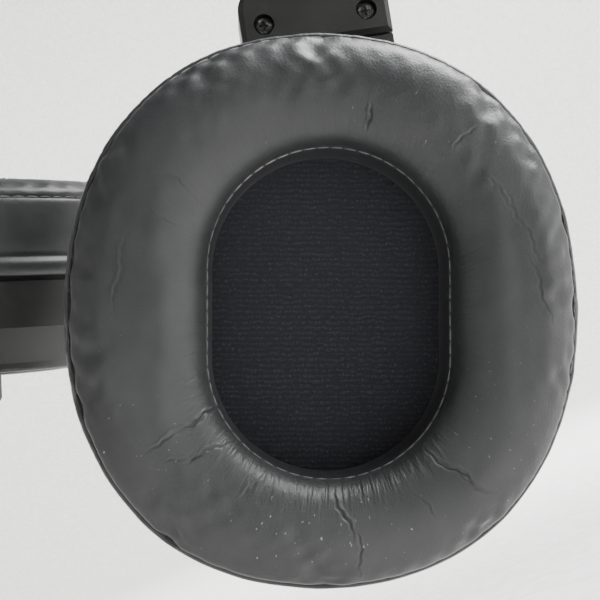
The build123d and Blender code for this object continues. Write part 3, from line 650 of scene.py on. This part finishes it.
@dataclass
class EarPad:
    """A leatherette ear pad: a rolled ring with a sewn rim, an outer seam and a lip that grips the cup."""

    place: CupPlace
    rows: int = 1200
    columns: int = 210
    cloth_rows: int = 128
    cloth_columns: int = 28
    fullness: float = 2.2
    lower_bulge: float = 0.006
    opening_shift: tuple = (1.05, -0.9)
    rim_depth: float = 7.0
    seam_depth: float = 3.3
    seam_inset: float = 1.35
    lip_depth: float = 4.2
    wall_lean: float = 1.2
    mean_radius: float = 30.0
    thread_pitch: float = 2.5
    thread_radius: float = 0.19
    thread_sides: int = 6
    thread_steps: int = 7
    cap: float = 0.0007
    creases: tuple = (
        Crease(-22.5, -20.0, 27.0, 6.5, 0.26, 0.42),
        Crease(-27.0, -22.8, 24.0, 5.0, 0.22, 0.26),
        Crease(-20.5, -25.3, 22.0, 5.6, 0.22, 0.30),
        Crease(-24.6, -26.4, 10.0, 4.2, 0.20, 0.18),
        Crease(22.0, -28.3, -32.0, 5.6, 0.28, 0.40),
        Crease(25.6, -31.0, -24.0, 4.6, 0.22, 0.28),
        Crease(3.2, -36.6, -66.0, 4.6, 0.24, 0.36),
        Crease(5.8, -43.0, -84.0, 5.0, 0.22, 0.26),
        Crease(17.2, -34.6, -50.0, 3.2, 0.20, 0.20),
        Crease(-13.0, -31.5, 50.0, 3.2, 0.20, 0.16),
        Crease(7.6, 33.6, 84.0, 2.8, 0.24, 0.34),
        Crease(24.5, 30.0, 48.0, 3.6, 0.20, 0.16),
        Crease(-26.5, 22.0, -34.0, 4.4, 0.20, 0.14),
        Crease(-29.0, 15.5, -38.0, 4.0, 0.18, 0.12),
        Crease(35.0, 14.0, -62.0, 9.0, 0.22, 0.12),
        Crease(38.0, 3.0, -72.0, 8.0, 0.22, 0.10),
        Crease(31.0, 20.0, -48.0, 6.0, 0.20, 0.12),
        Crease(-36.0, 6.0, 80.0, 9.0, 0.24, 0.10),
    )

    def __post_init__(self) -> None:
        """Takes the pad's size from its CAD solid."""
        self.name = f"ear_pad_{self.place.side}"
        shape = self.place.upright(self.place.own(node_points(self.name)))
        low, high = shape.min(axis=0), shape.max(axis=0)
        self.half_width = (high[0] - low[0]) / 2
        self.half_height = (high[2] - low[2]) / 2
        self.front, self.back = low[1], high[1]
        scrim = self.place.upright(self.place.own(node_points(f"scrim_cloth_{self.place.side}")))
        self.cloth_front = scrim.min(axis=0)[1]
        self.cloth_back = scrim.max(axis=0)[1]
        self.opening_width = scrim.max(axis=0)[0] - 3.0
        self.opening_straight = scrim.max(axis=0)[2] - scrim.max(axis=0)[0]
        flange = self.place.upright(self.place.own(node_points(f"baffle_{self.place.side}")))
        self.flange_inset = self.half_width - flange.max(axis=0)[0]

    def outer_radius(self, angle: np.ndarray) -> np.ndarray:
        """Superellipse: (|cos|/a)^n + (|sin|/b)^n to the power -1/n, a little fuller low down on one side."""
        a, b, n = self.half_width, self.half_height, self.fullness
        power = (np.abs(np.cos(angle)) / a) ** n + (np.abs(np.sin(angle)) / b) ** n
        return power ** (-1 / n) * (1 + self.lower_bulge * np.cos(angle - np.radians(235)))

    def inner_radius(self, angle: np.ndarray) -> np.ndarray:
        """Distance to a stadium's edge: its straight side, or the round end, whichever the ray meets."""
        c, s = np.abs(np.cos(angle)), np.abs(np.sin(angle))
        r, h = self.opening_width, self.opening_straight
        side = r / np.maximum(c, 1e-9)
        end = h * s + np.sqrt(np.maximum(h * h * s * s + r * r - h * h, 0.0))
        return np.where(s * r <= c * h, side, end)

    def section(self) -> np.ndarray:
        """The closed section as (share of width, offset, depth) rows.

        The front is two quarter superellipses that meet at the crown, then a narrow groove for the seam
        and a rounded welt out to the side, which bulges by a half sine. The lip is a half circle turned
        under the flange, and the inner wall leans in to the cloth.
        """
        crown = 0.48
        t = np.linspace(0.0, 1.0, 80)
        rise_in = (1 - (1 - t) ** 2.25) ** (1 / 2.25)
        inner = np.stack([t * crown, 0 * t, self.front + self.rim_depth * (1 - rise_in)], axis=1)
        fall_out = (1 - t**2.5) ** (1 / 2.5)
        inset = -self.seam_inset
        outer_y = self.front + self.seam_depth * (1 - fall_out)
        outer = np.stack([crown + t * (1 - crown), inset * t**3, outer_y], axis=1)
        seam_y = self.front + self.seam_depth
        q = np.linspace(0.0, 1.0, 11)
        groove = np.stack([1 + 0 * q, inset + 0.3 * q - 0.35 * np.sin(np.pi * q), seam_y + 0.55 * q], axis=1)
        groove[:, 2] += 0.35 * np.sin(np.pi * q)
        welt_t = np.linspace(0.0, 0.5 * np.pi, 16)
        welt_y = seam_y + 0.55
        welt_out = inset + 0.3 + 0.85 * np.sin(welt_t)
        welt = np.stack([1 + 0 * welt_t, welt_out, welt_y + 1.9 * (1 - np.cos(welt_t))], axis=1)
        lip_y = self.back - self.lip_depth
        side_top = welt_y + 1.9
        side_t = np.linspace(0.0, 1.0, 30)
        side_y = side_top + side_t * (lip_y - side_top)
        side_off = inset + 1.15 + 0.2 * np.sin(np.pi * side_t) - 1.8 * side_t**4
        side = np.stack([np.ones(30), side_off, side_y], axis=1)
        turn = np.linspace(-0.5 * np.pi, 0.5 * np.pi, 26)
        half = self.lip_depth / 2
        lip = np.stack([np.ones(26), -2.0 + 1.7 * np.cos(turn), lip_y + half + half * np.sin(turn)], axis=1)
        under = self.flange_inset - 0.35
        tail = np.array(
            [
                [1.0, -under, self.back - 0.1],
                [1.0, -under, self.cloth_back - 0.15],
                [0.0, 2.8, self.cloth_back - 0.15],
                [0.0, 2.6, self.cloth_front - 0.15],
                [0.0, -self.wall_lean / 2, self.cloth_front - 0.35],
            ]
        )
        wall_t = np.linspace(0.05, 1.0, 24)
        rim_y = self.front + self.rim_depth
        wall_y = self.cloth_front - 0.35 + wall_t * (rim_y - self.cloth_front + 0.35)
        belly = -0.5 * np.sin(np.pi * wall_t)
        wall_off = self.wall_lean * (wall_t - 0.5) + belly - self.wall_lean / 2 * wall_t**8
        wall = np.stack([np.zeros(24), wall_off, wall_y], axis=1)
        return np.vstack([inner, outer[1:], groove[1:], welt[1:], side[1:], lip[1:], tail, wall[:-1]])

    def section_line(self, columns: int) -> np.ndarray:
        """The section's points spaced by running length, four times closer on the front than behind."""
        scale = np.array([22.0, 1.0, 1.0])
        line = self.section() * scale
        closed = np.vstack([line, line[:1]])
        step = np.linalg.norm(np.diff(closed, axis=0), axis=1)
        front = closed[:-1, 2] < self.front + self.rim_depth + 0.3
        run = np.concatenate([[0.0], np.cumsum(step * np.where(front, 1.0, 0.25))])
        true_run = np.concatenate([[0.0], np.cumsum(step)])
        at = np.linspace(0.0, run[-1], columns, endpoint=False)
        parts = [np.interp(at, run, closed[:, k]) for k in range(3)] + [np.interp(at, run, true_run)]
        return np.stack(parts, axis=1) / np.array([22.0, 1.0, 1.0, 1.0])

    def skin(self, rows: int, columns: int) -> tuple[np.ndarray, np.ndarray, np.ndarray, np.ndarray]:
        """The pad's surface: each section point lies between the opening and the outline.

        Returns:
            The points in the pad's own millimetres, the share of the width, the angle round, and the run.
        """
        line = self.section_line(columns)
        angle = np.linspace(0, 2 * np.pi, rows, endpoint=False)[:, None]
        inner, outer = self.inner_radius(angle), self.outer_radius(angle)
        share, offset, depth = line[None, :, 0], line[None, :, 1], line[None, :, 2]
        radius = inner + (outer - inner) * share + offset
        depth = depth + 0.35 * np.sin(2 * angle + 0.8) * np.sin(np.pi * share) ** 2
        shift = 1 - share
        x = radius * np.cos(angle) + self.opening_shift[0] * shift
        z = radius * np.sin(angle) + self.opening_shift[1] * shift
        return np.stack([x, depth + 0 * angle, z], axis=2), share + 0 * angle, angle + 0 * share, line[:, 3]

    def wrinkles(self, share: np.ndarray, angle: np.ndarray, points: np.ndarray) -> np.ndarray:
        """Height of the fine work: puckers by the rim and the seam, slow unevenness, and the creases."""
        draw = np.random.default_rng(94)
        pucker = np.zeros_like(angle)
        for count in (57, 83, 118, 171):
            pucker += (1 - np.abs(np.sin(count * angle / 2 + draw.uniform(0, 6)))) ** 3
        swing = 0.4 + 0.6 * np.clip(np.cos(angle - np.radians(262)), 0, 1)
        front = (points[..., 1] < self.front + self.rim_depth - 0.05).astype(float)
        by_rim = np.exp(-(((share - 0.13) / 0.10) ** 2)) * swing
        by_seam = np.exp(-(((share - 0.99) / 0.04) ** 2)) * (0.5 + 0.5 * np.cos(angle - np.radians(110)))
        height = -(0.035 * by_rim + 0.05 * by_seam) * pucker
        mottled = np.zeros_like(angle)
        for _ in range(30):
            wave = draw.uniform(0.15, 1.1)
            way = draw.uniform(0, np.pi)
            phase = draw.uniform(0, 2 * np.pi)
            run = points[..., 0] * np.cos(way) + points[..., 2] * np.sin(way)
            mottled += np.sin(wave * run + phase) / 30
        height += 0.22 * mottled
        for crease in self.creases:
            height += crease.height(points[..., 0], points[..., 2])
        return height * front

    def wear(self, points: np.ndarray) -> np.ndarray:
        """Wear is high on the lower crown and near the outer seam, and low elsewhere."""
        x, z = points[..., 0], points[..., 2]
        low = np.exp(-(((z + 40.0) / 5.5) ** 2) - ((x - 2.0) / 19.0) ** 2)
        left = 0.5 * np.exp(-(((x + 31.0) / 8.0) ** 2) - ((z + 24.0) / 10.0) ** 2)
        right = 0.4 * np.exp(-(((x - 30.0) / 7.0) ** 2) - ((z + 24.0) / 14.0) ** 2)
        upper = 0.3 * np.exp(-(((x - 25.0) / 9.0) ** 2) - ((z - 28.0) / 9.0) ** 2)
        return np.clip(low + left + right + upper + 0.1, 0, 1) * (points[..., 1] < self.front + 6.0)

    def build_skin(self) -> None:
        """Blows the skin up as cloth, then adds the fine work along its normals."""
        coarse, _, _, _ = self.skin(self.cloth_rows, self.cloth_columns)
        held = coarse[..., 1] > self.front + self.rim_depth - 0.5
        world = self.place.world(self.place.leaning(coarse))
        move = swell(world, grid_quads(self.cloth_rows, self.cloth_columns, True, True), held, 4.0, self.cap)
        points, share, angle, run = self.skin(self.rows, self.columns)
        dense = self.place.world(self.place.leaning(points)) + finer(move, self.rows, self.columns)
        normal = normals_of(dense)
        if np.einsum("ijk,ijk->", normal, dense - dense.mean(axis=1, keepdims=True)) < 0:
            normal = -normal
        dense = dense + normal * (self.wrinkles(share, angle, points) * MM)[..., None]
        quads = grid_quads(self.rows, self.columns, True, True)
        piece = mesh_object(f"{self.name}_skin", dense.reshape(-1, 3), quads)
        behind_rim = (points[..., 1] > self.front + self.rim_depth - 0.02) & (share < 0.5)
        ring = self.mean_radius * MM
        place = np.stack([ring * np.cos(angle), ring * np.sin(angle), run[None, :] * MM + 0 * angle], axis=2)
        tight = np.exp(-(((share - 0.10) / 0.16) ** 2)) * (0.55 + 0.45 * np.cos(angle - np.radians(265)))
        point_attribute(piece, "wear", self.wear(points))
        point_attribute(piece, "drawn", np.clip(tight + 0.06, 0, 1))
        point_attribute(piece, "lining", behind_rim.astype(float))
        point_attribute(piece, "skin", place)
        WARDROBE.dress(piece, Slot.PAD_LEATHER.value)
        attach(piece, f"cup_{self.place.side}")
        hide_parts(self.name)

    def stitch_row(
        self, name: str, out: float, depth: float, share: float, finish: Thread, pitch: float
    ) -> None:
        """A row of stitches along a closed line round the pad: each is a small closed spindle laid along it.

        Args:
            name: the piece's name.
            out: the line's distance outside the opening or the outline.
            depth: the line's depth.
            share: nought for the opening's line, one for the outline's.
            finish: the thread.
            pitch: the length of one stitch.
        """
        fine = np.linspace(0, 2 * np.pi, 4000, endpoint=False)
        radius = (self.outer_radius(fine) if share else self.inner_radius(fine)) + out
        line = np.stack([radius * np.cos(fine), radius * np.sin(fine)], axis=1)
        line = line + np.array(self.opening_shift) * (1 - share)
        length = np.linalg.norm(np.diff(np.vstack([line, line[:1]]), axis=0), axis=1).sum()
        count = int(round(length / pitch))
        per, sides = self.thread_steps, self.thread_sides
        flat = resample(line, count * per)
        ahead = np.roll(flat, -1, axis=0) - np.roll(flat, 1, axis=0)
        ahead = (ahead / np.linalg.norm(ahead, axis=1, keepdims=True)).reshape(count, per, 2)
        steps = flat.reshape(count, per, 2)
        t = (np.arange(per) + 0.5) / per
        girth = self.thread_radius * np.sin(np.pi * t) ** 0.4
        dip = 0.20 * (1 - np.sin(np.pi * t))
        around = np.linspace(0, 2 * np.pi, sides, endpoint=False)
        radial = girth[None, :, None] * np.cos(around)[None, None, :]
        lift = girth[None, :, None] * np.sin(around)[None, None, :] + dip[None, :, None]
        x = steps[..., 0:1] + ahead[..., 1:2] * radial
        z = steps[..., 1:2] - ahead[..., 0:1] * radial
        points = np.stack([x, depth + lift + 0 * x, z], axis=3)
        stitch = np.vstack([grid_quads(per, sides, False, True), lids(sides, 0, (per - 1) * sides)])
        every = (stitch[None] + (np.arange(count) * per * sides)[:, None, None]).reshape(-1, 4)
        world = self.place.world(self.place.leaning(points.reshape(-1, 3)))
        piece = mesh_object(name, world, every)
        angle = np.degrees(np.arctan2(z, x))
        frayed = 0.75 * np.exp(-(((angle - 112.0) / 16.0) ** 2))
        worn = frayed + 0.35 * np.exp(-(((angle + 40.0) / 40.0) ** 2))
        point_attribute(piece, "wear", worn)
        WARDROBE.dress(piece, finish)
        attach(piece, f"cup_{self.place.side}")

    def build(self) -> None:
        """The skin and its two rows of stitches."""
        self.build_skin()
        rim = Thread("rim_thread", grey(0.075), grey(0.16, 0.02))
        seam = Thread("seam_thread", grey(0.008), grey(0.24, 0.06))
        rim_y = self.front + self.rim_depth
        self.stitch_row(f"{self.name}_rim_stitches", 0.02, rim_y - 0.28, 0.0, rim, self.thread_pitch)
        seam_y = self.front + self.seam_depth + 0.3
        self.stitch_row(f"{self.name}_seam_stitches", -self.seam_inset - 0.05, seam_y, 1.0, seam, 3.0)


@dataclass
class ScrimCloth:
    """The knitted cloth stretched across the bottom of an ear cavity."""

    place: CupPlace
    rows: int = 331
    columns: int = 121
    rib_pitch: float = 1.0
    rib_height: float = 0.04
    belly: float = 1.2
    thickness: float = 0.0005

    def build(self) -> None:
        """A stadium sheet: each row runs between its edges, ribs are a sine up it, the middle is proud."""
        name = f"scrim_cloth_{self.place.side}"
        shape = self.place.upright(self.place.own(node_points(name)))
        low, high = shape.min(axis=0), shape.max(axis=0)
        wide, tall = high[0] - 0.1, high[2] - 0.1
        up = np.linspace(-tall, tall, self.rows)[:, None]
        across = np.linspace(-1, 1, self.columns)[None, :]
        past = np.maximum(np.abs(up) - (tall - wide), 0.0)
        half = np.sqrt(np.maximum(wide**2 - past**2, 0.0)) + 0.02
        x = across * half
        share = np.clip(1 - (x / wide) ** 2, 0, 1) * np.clip(1 - (up / tall) ** 2, 0, 1)
        ribs = self.rib_height * np.sin(2 * np.pi * (up + 0.15 * np.sin(x * 0.35)) / self.rib_pitch)
        depth = low[1] + 0.1 - self.belly * share**0.6 - ribs * np.minimum(share * 8, 1)
        points = np.stack([x, depth + 0 * x, up + 0 * x], axis=2).reshape(-1, 3)
        world = self.place.world(self.place.leaning(points))
        quads = grid_quads(self.rows, self.columns, False, False)
        piece = mesh_object(f"{name}_knit", world, quads)
        uv_map(piece, points[:, [0, 2]])
        thick = piece.modifiers.new("thickness", "SOLIDIFY")
        thick.thickness = self.thickness
        thick.offset = -1.0
        WARDROBE.dress(piece, Slot.CLOTH.value)
        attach(piece, f"cup_{self.place.side}")
        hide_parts(name)
        area = (4 * wide * (tall - wide) + np.pi * wide**2) * MM * MM
        flat = (2 * wide * MM, 2 * tall * MM)


@dataclass
class BandPad:
    """One padded length of the headband: a soft bar bent round the band's arc, sewn along both edges."""

    node: str
    under: bool
    rows: int = 260
    columns: int = 64
    cloth_rows: int = 65
    cloth_columns: int = 32
    cap: float = 0.0006
    folds: int = 16

    def __post_init__(self) -> None:
        """Takes the arc's centre from the sliders' joint and the bar's size from its CAD solid."""
        self.centre = np.array(joint("adjust_left")["pos_m"]) / MM
        points = node_points(self.node) / MM - self.centre
        radius = np.hypot(points[:, 0], points[:, 2])
        self.inside, self.outside = radius.min(), radius.max()
        self.half_width = np.abs(points[:, 1]).max()
        self.span = np.arctan2(points[:, 0], points[:, 2]).max()
        spring = node_points("headband_spring") / MM - self.centre
        spring_radius = np.hypot(spring[:, 0], spring[:, 2])
        self.spring = (spring_radius.min(), spring_radius.max())

    def section(self, count: int) -> np.ndarray:
        """A flat-backed pillow: the padded face is a superellipse, the back follows the spring."""
        t = np.linspace(0, np.pi, 80)
        face = np.sign(np.cos(t)) * np.abs(np.cos(t)) ** 0.55 * self.half_width
        if self.under:
            back, height = self.spring[0] - 0.15, self.spring[0] - 0.15 - self.inside
            rise = back - 0.35 * height - 0.65 * height * np.sin(t) ** 0.5
        else:
            back, height = self.spring[0] + 0.05, self.outside - self.spring[0] - 0.05
            rise = back + 0.35 * height + 0.65 * height * np.sin(t) ** 0.6
        flat = np.linspace(-0.93, 0.93, 30) * self.half_width
        floor = back + 0 * flat
        if not self.under:
            floor = np.where(np.abs(flat) < 7.3, self.spring[1] + 0.1, back)
        return resample(np.vstack([np.stack([face, rise], 1), np.stack([flat, floor], 1)]), count)

    def skin(self, rows: int, columns: int) -> np.ndarray:
        """The section carried round the arc and drawn in at both ends by a quarter circle."""
        line = self.section(columns)
        t = np.linspace(-1, 1, rows)[:, None]
        near = np.clip((1 - np.abs(t)) * 26.0, 0, 1)
        tuck = np.sqrt(1 - (1 - near) ** 2)
        middle = (self.spring[0] - 0.15) if self.under else (self.spring[0] + 0.9)
        y = line[None, :, 0] * (0.9 + 0.1 * tuck)
        radius = middle + (line[None, :, 1] - middle) * (0.55 + 0.45 * tuck)
        angle = t * self.span
        return np.stack([radius * np.sin(angle), y + 0 * radius, radius * np.cos(angle)], axis=2)

    def faces(self, rows: int, columns: int) -> np.ndarray:
        """The bar's sides and both ends."""
        return np.vstack([grid_quads(rows, columns, False, True), lids(columns, 0, (rows - 1) * columns)])

    def swelled(self) -> np.ndarray:
        """The cloth's move on the fine grid: mirrored along the bar, it closes both ways and is refined."""
        coarse = (self.skin(self.cloth_rows, self.cloth_columns) + self.centre) * MM
        radius = np.hypot(coarse[..., 0], coarse[..., 2] - self.centre[2] * MM) / MM
        back = radius > self.spring[0] - 1.0 if self.under else radius < self.spring[1] + 0.3
        ends = np.zeros_like(back)
        ends[:2], ends[-2:] = True, True
        faces = self.faces(self.cloth_rows, self.cloth_columns)
        move = swell(coarse, faces, back | ends, 4.0, self.cap)
        mirrored = np.vstack([move, move[-2:0:-1]])
        return finer(mirrored, 2 * (self.rows - 1), self.columns)[: self.rows]

    def build(self) -> None:
        """The bar's skin, swelled as cloth, with a sewn channel near each edge and soft cross folds."""
        points = self.skin(self.rows, self.columns)
        normal = normals_of(points)
        if np.einsum("ijk,ijk->", normal, points - points.mean(axis=1, keepdims=True)) < 0:
            normal = -normal
        share = np.linspace(-1, 1, self.rows)[:, None]
        fold = np.zeros((self.rows, self.columns))
        draw = np.random.default_rng(7)
        for _ in range(self.folds):
            at, phase = draw.uniform(-0.92, 0.92), draw.uniform(0, 6)
            bend = 0.01 * np.sin(points[..., 1] * 0.3 + phase)
            fold -= draw.uniform(0.05, 0.16) * np.exp(-(((share - at + bend) / 0.009) ** 2))
        edge = np.abs(points[..., 1]) / self.half_width
        fold = fold * np.clip((0.95 - edge) * 4, 0, 1) * (np.abs(share) < 0.96)
        channel = np.exp(-(((edge - 0.84) / 0.035) ** 2)) * 0.35
        fine_work = normal * (fold - channel)[..., None]
        world = (points + self.centre + fine_work) * MM + self.swelled()
        piece = mesh_object(f"{self.node}_skin", world.reshape(-1, 3), self.faces(self.rows, self.columns))
        point_attribute(piece, "wear", np.clip(edge - 0.8, 0, 1) * 0.8)
        WARDROBE.dress(piece, Slot.BAND_LEATHER.value)
        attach(piece, "headband")
        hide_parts(self.node)


@dataclass
class JumperLead:
    """The short lead from the back of a cup to its yoke's arm."""

    place: CupPlace
    radius: float = 1.0
    sides: int = 14
    route: tuple = (
        (24.0, 16.6, -28.0),
        (28.0, 23.5, -18.6),
        (34.0, 27.8, -7.0),
        (40.0, 26.0, 4.6),
        (43.2, 18.5, 11.8),
        (43.2, 10.4, 13.4),
    )

    def line(self) -> np.ndarray:
        """The route's smooth line: a NURBS spline of order 3 that starts and ends at its end points."""
        curve = bpy.data.curves.new("route", "CURVE")
        curve.dimensions = "3D"
        spline = curve.splines.new("NURBS")
        spline.points.add(len(self.route) - 1)
        world = self.place.world(np.array(self.route))
        spline.points.foreach_set("co", np.hstack([world, np.ones((len(world), 1))]).ravel())
        spline.order_u = 3
        spline.use_endpoint_u = True
        spline.resolution_u = 14
        holder = bpy.data.objects.new("route", curve)
        bpy.context.scene.collection.objects.link(holder)
        mesh = bpy.data.meshes.new_from_object(holder)
        line = np.array([v.co for v in mesh.vertices])
        bpy.data.objects.remove(holder)
        bpy.data.meshes.remove(mesh)
        return line

    def build(self) -> None:
        """A round tube on the line; each ring is set square to it and carried without twist."""
        line = self.line()
        ahead = np.gradient(line, axis=0)
        ahead /= np.linalg.norm(ahead, axis=1, keepdims=True)
        across = np.cross(ahead, self.place.axes[:, 0])
        across /= np.linalg.norm(across, axis=1, keepdims=True)
        over = np.cross(ahead, across)
        turn = np.linspace(0, 2 * np.pi, self.sides, endpoint=False)
        ring = across[:, None] * np.cos(turn)[None, :, None] + over[:, None] * np.sin(turn)[None, :, None]
        points = line[:, None] + ring * self.radius * MM
        name = f"jumper_lead_{self.place.side}"
        tube = grid_quads(len(line), self.sides, False, True)
        quads = np.vstack([tube, lids(self.sides, 0, (len(line) - 1) * self.sides)])
        piece = mesh_object(f"{name}_cable", points.reshape(-1, 3), quads)
        WARDROBE.dress(piece, Slot.RUBBER.value)
        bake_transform(piece)
        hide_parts(name)


def dress_frame() -> None:
    """Gives every CAD node the finish that its record slot names."""
    slots = {s["node"]: s["material_slot"] for s in frame["record"]["subparts"]}
    for name, node in frame["nodes"].items():
        WARDROBE.dress(node, Slot[slots[name].upper()].value)


@dataclass
class Studio:
    """A pale seamless bowl, soft lights and the camera in front of the left cup's pad."""

    place: CupPlace
    pad: EarPad
    lens: float = 69.0
    sensor: float = 36.0
    distance: float = 201.0
    yaw: float = np.radians(2.7)
    pitch: float = np.radians(1.7)
    roll: float = np.radians(9.2)
    aim_left: float = 4.5
    aim_up: float = 1.1

    def camera(self) -> None:
        """Looks square at the pad, a little from its left and above, with the arm leaning left."""
        across, back, up = self.place.axes.T
        forward = back + np.tan(self.yaw) * across + np.tan(self.pitch) * up
        forward /= np.linalg.norm(forward)
        lifted = np.cos(self.roll) * up + np.sin(self.roll) * across
        right = np.cross(forward, lifted)
        right /= np.linalg.norm(right)
        upward = np.cross(right, forward)
        centre = self.place.world(np.array([0.0, self.pad.front, 0.0]))
        spot = centre + (upward * self.aim_up - right * self.aim_left - forward * self.distance) * MM
        data = bpy.data.cameras.new("camera")
        data.lens = self.lens
        data.sensor_width = self.sensor
        data.clip_start = 0.01
        camera = bpy.data.objects.new("camera", data)
        bpy.context.scene.collection.objects.link(camera)
        turned = Matrix(np.stack([right, upward, -forward], axis=1).tolist()).to_4x4()
        turned.translation = spot
        camera.matrix_world = turned
        bpy.context.scene.camera = camera
        self.right, self.upward, self.forward, self.centre = right, upward, forward, centre

    def bowl(self) -> None:
        """Floor, rounded foot and wall as one surface of revolution about Z."""
        low = float(CAD_BOUNDS[0][2])
        flat, bend, top = 1.8, 0.9, 2.6
        turn = np.linspace(0, np.pi / 2, 24)
        radius = np.concatenate([np.linspace(0.001, flat, 12), flat + bend * np.sin(turn[1:]), [flat + bend]])
        height = np.concatenate([np.zeros(12), bend * (1 - np.cos(turn[1:])), [top]])
        around = np.linspace(0, 2 * np.pi, 96, endpoint=False)
        x = radius[:, None] * np.cos(around)
        y = radius[:, None] * np.sin(around)
        z = height[:, None] + 0 * x + low - 0.05
        quads = grid_quads(len(radius), 96, False, True)
        bowl = mesh_object("studio_floor", np.stack([x, y, z], axis=2).reshape(-1, 3), quads)
        WARDROBE.dress(bowl, Soft("studio_paper", (0.83, 0.82, 0.79, 1.0), 0.95, 30.0, 0.0))

    def light(self, name: str, spot: np.ndarray, target: np.ndarray, size: float, power: float) -> None:
        """One square soft light at a spot, facing a target and out of the camera's sight."""
        data = bpy.data.lights.new(name, "AREA")
        data.shape = "SQUARE"
        data.size = size
        data.energy = power
        lamp = bpy.data.objects.new(name, data)
        bpy.context.scene.collection.objects.link(lamp)
        toward = (spot - target) / np.linalg.norm(spot - target)
        side = np.cross(toward, np.array([0.3, 0.9, 0.1]))
        side /= np.linalg.norm(side)
        placed = Matrix(np.stack([side, np.cross(toward, side), toward], axis=1).tolist()).to_4x4()
        placed.translation = spot
        lamp.matrix_world = placed
        lamp.visible_camera = False

    def build(self) -> None:
        """Camera, bowl, a high key, a low side fill, a light on the wall behind, and a pale world."""
        self.camera()
        self.bowl()
        right, upward, ahead, centre = self.right, self.upward, self.forward, self.centre
        self.light("key", centre + 0.85 * upward + 0.36 * right + 0.05 * ahead, centre, 0.55, 36.0)
        self.light("fill", centre + 0.9 * right + 0.3 * upward - 0.5 * ahead, centre, 0.6, 2.2)
        self.light("backdrop", centre + 1.0 * ahead + 1.0 * upward, centre + 2.6 * ahead, 1.4, 75.0)
        world = bpy.data.worlds.new("world")
        world.use_nodes = True
        world.node_tree.nodes["Background"].inputs[0].default_value = (0.95, 0.97, 1.0, 1.0)
        world.node_tree.nodes["Background"].inputs[1].default_value = 0.30
        bpy.context.scene.world = world


def main() -> None:
    """Builds every sub-assembly in order and reports it."""
    logging.basicConfig(level=logging.INFO, format="%(name)s %(message)s")
    dress_frame()
    LOG.info("frame dressed")
    places = {side: CupPlace(side) for side in SIDES}
    pads = {"left": EarPad(places["left"]), "right": EarPad(places["right"], rows=760, columns=130)}
    studio = Studio(places["left"], pads["left"])
    studio.build()
    LOG.info("studio ready")
    for side, place in places.items():
        pads[side].build()
        ScrimCloth(place).build()
        JumperLead(place).build()
        LOG.info("%s cup ready", side)
    BandPad("headband_cushion", True).build()
    BandPad("headband_cover", False).build()
    LOG.info("headband ready")


if __name__ == "__main__":
    main()
